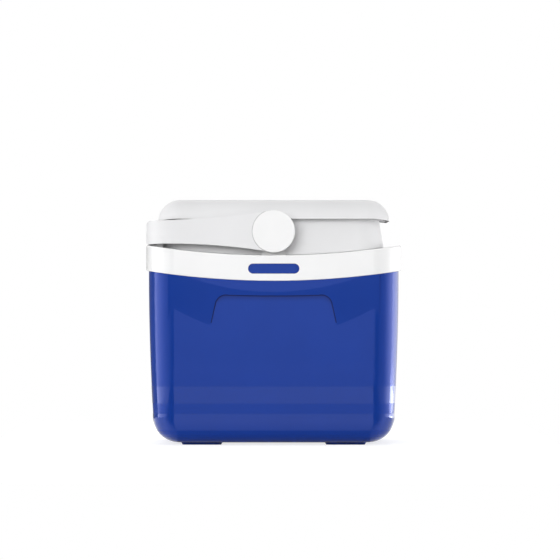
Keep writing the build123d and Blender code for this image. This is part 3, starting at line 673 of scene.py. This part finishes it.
# %% Zinc plate
def zinc_plate(name):
    material, shop, place = new_material(name)
    crystals = shop.cells(place, 900.0)
    skin = {
        "Base Color": shop.mix(crystals, srgb(176, 179, 184), srgb(198, 200, 203)),
        "Metallic": 1.0,
        "Roughness": 0.28 + 0.12 * crystals,
    }
    return finish(material, shop, skin)


# %% Polyurethane foam
def foam_cells(name):
    material, shop, place = new_material(name)
    bubbles = shop.cells(place, 1100.0)
    skin = {
        "Base Color": shop.mix(bubbles, srgb(232, 214, 160), srgb(206, 182, 122)),
        "Roughness": 0.85,
        "Normal": shop.bump(bubbles * 0.3),
    }
    return finish(material, shop, skin)


# %% [markdown]
# ## Which finish goes where
#
# Each solid of the frame has a slot that names its stuff. The table below pairs each slot
# with its finish. The lid is a shade greyer than the collar, and the liner a shade cooler.
# Two nodes have a skin of their own, because a line of painted shade runs on them.

# %% Dress the CAD nodes
HANDLE_GREY, LID_GREY = srgb(228, 228, 229), srgb(229, 229, 230)
COLLAR_WHITE, LINER_WHITE = srgb(242, 242, 242), srgb(228, 231, 233)
PACK_BLUE, CAP_WHITE = srgb(140, 186, 224), srgb(236, 236, 236)
FINE_TEXTURE = {"peel": 0.006, "grain": 0.004}
FINISHES = {
    "shell_blue": tub_wall("shell_blue"),
    "plug_blue": moulded("plug_blue", BLUE, 0.38, grain=0.006),
    "collar_white": moulded("collar_white", COLLAR_WHITE, 0.1, peel=0.006, level=1.0),
    "lid_grey": moulded("lid_grey", LID_GREY, 0.48, **FINE_TEXTURE),
    "liner_white": moulded("liner_white", LINER_WHITE, 0.32),
    "foam": foam_cells("foam"),
    "seal_rubber": seal_rubber("seal_rubber"),
    "steel": zinc_plate("steel"),
    "pack_blue": moulded("pack_blue", PACK_BLUE, 0.28, peel=0.03),
    "cap_white": moulded("cap_white", CAP_WHITE, 0.3),
}
# These two skins carry lines of painted shade round the hubs and under the lid's rim.
BY_NODE = {
    "handle_bail": moulded(
        "handle_grey", HANDLE_GREY, 0.46, shade_lines=shade_round_the_hubs, **FINE_TEXTURE
    ),
    "lid_top": moulded("rim_grey", LID_GREY, 0.48, shade_lines=shade_along_the_rim, **FINE_TEXTURE),
}

for name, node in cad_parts.items():
    for slot in node.material_slots:
        slot.material = BY_NODE.get(name, FINISHES[slot.material.name.split(".")[0]])
print("dressed", len(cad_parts), "nodes in", len(FINISHES) + len(BY_NODE), "finishes")

# %% [markdown]
# ## Trees for what follows a rule
#
# A seal, a parting line and a set of ejector marks are all shapes that a rule describes:
# a section carried round a path, or a mark set out on a grid. Geometry Nodes build such
# shapes from a few named sizes. The class below adds a tree's inputs and its last nodes,
# and `grow` runs the tree once and keeps a plain mesh, because the finished model
# carries no modifiers.

# %% A tree with named inputs
class Bench(Shop):
    """A Geometry Nodes tree whose sizes, in metres, are named inputs."""

    def __init__(self, name, sizes):
        super().__init__(bpy.data.node_groups.new(name, "GeometryNodeTree"))
        sockets = self.tree.interface
        for size in sizes:
            sockets.new_socket(size, in_out="INPUT", socket_type="NodeSocketFloat")
        sockets.new_socket("finish", in_out="INPUT", socket_type="NodeSocketMaterial")
        sockets.new_socket("mesh", in_out="OUTPUT", socket_type="NodeSocketGeometry")
        self.given = self.node("NodeGroupInput").socket.node

    def size(self, name):
        """The wire that carries a named input."""
        return Wire(self, self.given.outputs[name])

    def place(self, x, y, z):
        return self.node("ShaderNodeCombineXYZ", None, {"X": x, "Y": y, "Z": z})

    def moved(self, shape, place=(0, 0, 0), turn=(0, 0, 0)):
        """A shape at a place, turned by three angles."""
        inputs = {"Geometry": shape, "Translation": place, "Rotation": turn}
        return self.node("GeometryNodeTransform", None, inputs)

    def oblong(self, width, height):
        """A rectangular outline."""
        sides = {"Width": width, "Height": height}
        return self.node("GeometryNodeCurvePrimitiveQuadrilateral", None, sides)

    def circle(self, radius, steps):
        inputs = {"Resolution": steps, "Radius": radius}
        return self.node("GeometryNodeCurvePrimitiveCircle", None, inputs)

    def sweep(self, section, path):
        """A section carried round a path."""
        inputs = {"Curve": path, "Profile Curve": section}
        return self.node("GeometryNodeCurveToMesh", None, inputs)

    def close(self, mesh):
        """Make instances real, paint the mesh and hand it out."""
        real = self.node("GeometryNodeRealizeInstances", None, {"Geometry": mesh})
        paint = {"Geometry": real, "Material": self.size("finish")}
        painted = self.node("GeometryNodeSetMaterial", None, paint)
        self.node("NodeGroupOutput", None, {"mesh": painted})
        print(self.tree.name, "has", len(self.tree.nodes), "nodes")


# %% From a tree to a plain mesh
def grow(bench, name, body, slot, **sizes):
    """Run a tree with its sizes and keep the result as a plain mesh on a body."""
    seed = bpy.data.objects.new("seed", bpy.data.meshes.new("seed"))
    scene.collection.objects.link(seed)
    modifier = seed.modifiers.new("tree", "NODES")
    modifier.node_group = bench.tree
    for socket in bench.tree.interface.items_tree:
        if socket.in_out == "INPUT":
            value = FINISHES[slot] if socket.name == "finish" else float(sizes[socket.name])
            modifier[socket.identifier] = value
    ready = seed.evaluated_get(bpy.context.evaluated_depsgraph_get())
    mesh = bpy.data.meshes.new_from_object(ready)
    seed.modifiers.remove(modifier)
    bpy.data.objects.remove(seed)
    mesh.name = name
    piece = bpy.data.objects.new(name, mesh)
    scene.collection.objects.link(piece)
    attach(piece, body)
    measured = [round(v / MM, 2) for v in piece.dimensions]
    print(name, len(mesh.polygons), "faces, size in mm:", measured)
    return piece


# %% [markdown]
# ## The lid's seal
#
# The seal is an extrusion: a flat root that presses into the groove of the lid's flange, a
# bulb below it, and a thin lip that leans outwards and wipes the land first. The solid only
# has its outer block, which is right for its mass and place. The section could be modelled
# by hand and bent round, but a sweep round a rounded rectangle keeps it whole in the
# corners. The finished sweep stands for the block.

# %% A rounded path
PATH_STEPS = 12


def rounded_path(bench):
    """A rounded rectangle in the XY plane, from a length, a width and a corner."""
    plain = bench.oblong(bench.size("length"), bench.size("width"))
    corner = {"Curve": plain, "Count": PATH_STEPS, "Radius": bench.size("corner")}
    return bench.node("GeometryNodeFilletCurve", {"mode": "POLY"}, corner)


# %% The seal's section and sweep
ROOT_THICKNESS = 0.4  # shares of the root's width
BULB_SINK = 0.36
LIP_OUT = 0.28
LIP_THICKNESS = 0.18  # share of the lip's length
LIP_START = 0.7  # share of the bulb's radius
LIP_LEAN = 52

seal_tree = Bench("seal_sweep", ("length", "width", "corner", "root", "bulb", "lip", "top"))
path = rounded_path(seal_tree)
root, bulb, lip = (seal_tree.size(size) for size in ("root", "bulb", "lip"))
# the section's Y axis points down on the object, away from the flange
flat = seal_tree.oblong(root, root * ROOT_THICKNESS)
flat = seal_tree.moved(flat, seal_tree.place(0, root * (ROOT_THICKNESS / 2), 0))
tube = seal_tree.circle(bulb, steps=20)
tube = seal_tree.moved(tube, seal_tree.place(0, root * BULB_SINK + bulb, 0))
blade = seal_tree.oblong(lip, lip * LIP_THICKNESS)
blade_place = seal_tree.place(root * LIP_OUT, root * BULB_SINK + bulb * LIP_START, 0)
blade = seal_tree.moved(blade, blade_place, (0, 0, radians(LIP_LEAN)))
section = seal_tree.node("GeometryNodeJoinGeometry")
for strand in (flat, tube, blade):
    seal_tree.tree.links.new(strand.socket, section.socket.node.inputs[0])
swept = seal_tree.sweep(section, path)
seal_tree.close(seal_tree.moved(swept, seal_tree.place(0, 0, seal_tree.size("top"))))

# %% Fit the seal to its block
SEAL_ROOT_MM = 4.0
SEAL_CORNER_MM = 27.0
SEAL_BULB_MM = 1.1
SEAL_LIP_MM = 1.9
block_low, block_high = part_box("lid_gasket")
seal = grow(
    seal_tree,
    "lip_seal",
    "lid",
    "seal_rubber",
    length=block_high[0] - block_low[0] - SEAL_ROOT_MM * MM,
    width=block_high[1] - block_low[1] - SEAL_ROOT_MM * MM,
    corner=SEAL_CORNER_MM * MM,
    root=SEAL_ROOT_MM * MM,
    bulb=SEAL_BULB_MM * MM,
    lip=SEAL_LIP_MM * MM,
    top=block_high[2],
)
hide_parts("lid_gasket")
heights = [v.co.z / MM for v in seal.data.vertices]
print("block z in mm:", round(block_low[2] / MM, 2), round(block_high[2] / MM, 2))
print("seal z in mm:", round(min(heights), 2), round(max(heights), 2))

# %% [markdown]
# ## Parting lines of the coolant packs
#
# A coolant pack is blown in a tool of two halves, which leaves a fine raised line round its
# narrow sides where they met. The line follows the pack's outline, so it is another sweep
# round a rounded rectangle, stood upright. A bump in the material would miss it, because
# the line shows in the pack's outline too.

# %% The line's sweep
line_tree = Bench("parting_line", ("length", "width", "corner", "bead", "x", "y", "z", "turn"))
bead = line_tree.circle(line_tree.size("bead"), steps=6)
swept = line_tree.sweep(bead, rounded_path(line_tree))
upright = line_tree.moved(swept, turn=(radians(90), 0, 0))
middle = line_tree.place(*(line_tree.size(axis) for axis in "xyz"))
turned = line_tree.place(0, 0, line_tree.size("turn"))
line_tree.close(line_tree.moved(upright, middle, turned))

# %% One line on each pack
PACK_BODY_MM = 153.0
PACK_CORNER_MM = 9.0
LINE_BEAD_MM = 0.28

for place_name in ("front", "back", "left", "right"):
    low, high = (Vector(corner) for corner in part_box(f"coolant_pack_{place_name}"))
    span = high - low
    grow(
        line_tree,
        f"pack_line_{place_name}",
        "case",
        "pack_blue",
        length=max(span.x, span.y),
        width=PACK_BODY_MM * MM,
        corner=PACK_CORNER_MM * MM,
        bead=LINE_BEAD_MM * MM,
        x=(low.x + high.x) / 2,
        y=(low.y + high.y) / 2,
        z=low.z + PACK_BODY_MM * MM / 2,
        turn=0.0 if span.x > span.y else radians(90),
    )

# %% [markdown]
# ## Ejector marks under the lid
#
# When the lid's liner leaves its tool, round pins push it off and print a low disc at each
# place. They stand on a regular grid under the plug, where a hand finds them when the
# lid is off. Eight discs could be placed one by one, but a grid of points with one disc
# instanced on each is the whole rule, and a change of its size moves them all.

# %% Discs on a grid
MARKS_ALONG, MARKS_ACROSS = 4, 2
mark_tree = Bench("ejector_marks", ("length", "width", "radius", "proud", "z"))
spread = {
    "Size X": mark_tree.size("length"),
    "Size Y": mark_tree.size("width"),
    "Vertices X": MARKS_ALONG,
    "Vertices Y": MARKS_ACROSS,
}
points = mark_tree.node("GeometryNodeMeshGrid", None, spread)
# each disc is centred on the plug's face, so only half of its depth stands proud
depth = mark_tree.size("proud") * 2
round_pin = {"Vertices": 40, "Radius": mark_tree.size("radius"), "Depth": depth}
disc = mark_tree.node("GeometryNodeMeshCylinder", None, round_pin)
printed = {"Points": points, "Instance": disc}
marks = mark_tree.node("GeometryNodeInstanceOnPoints", None, printed)
mark_tree.close(mark_tree.moved(marks, mark_tree.place(0, 0, mark_tree.size("z"))))

# %% Marks on the plug's face
MARKS_LENGTH_MM, MARKS_WIDTH_MM = 180.0, 100.0
MARK_RADIUS_MM = 4.0
MARK_PROUD_MM = 0.12
plug_low, plug_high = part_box("lid_liner")
grow(
    mark_tree,
    "ejector_marks",
    "lid",
    "liner_white",
    length=MARKS_LENGTH_MM * MM,
    width=MARKS_WIDTH_MM * MM,
    radius=MARK_RADIUS_MM * MM,
    proud=MARK_PROUD_MM * MM,
    z=plug_low[2],
)

# %% [markdown]
# ## The last look
#
# The view transform stays plain, so a colour on the screen is the colour that was written.
# The boxes of the CAD and of the dressed object are kept side by side, because the

# %% Finish
scene.view_settings.view_transform = "Standard"
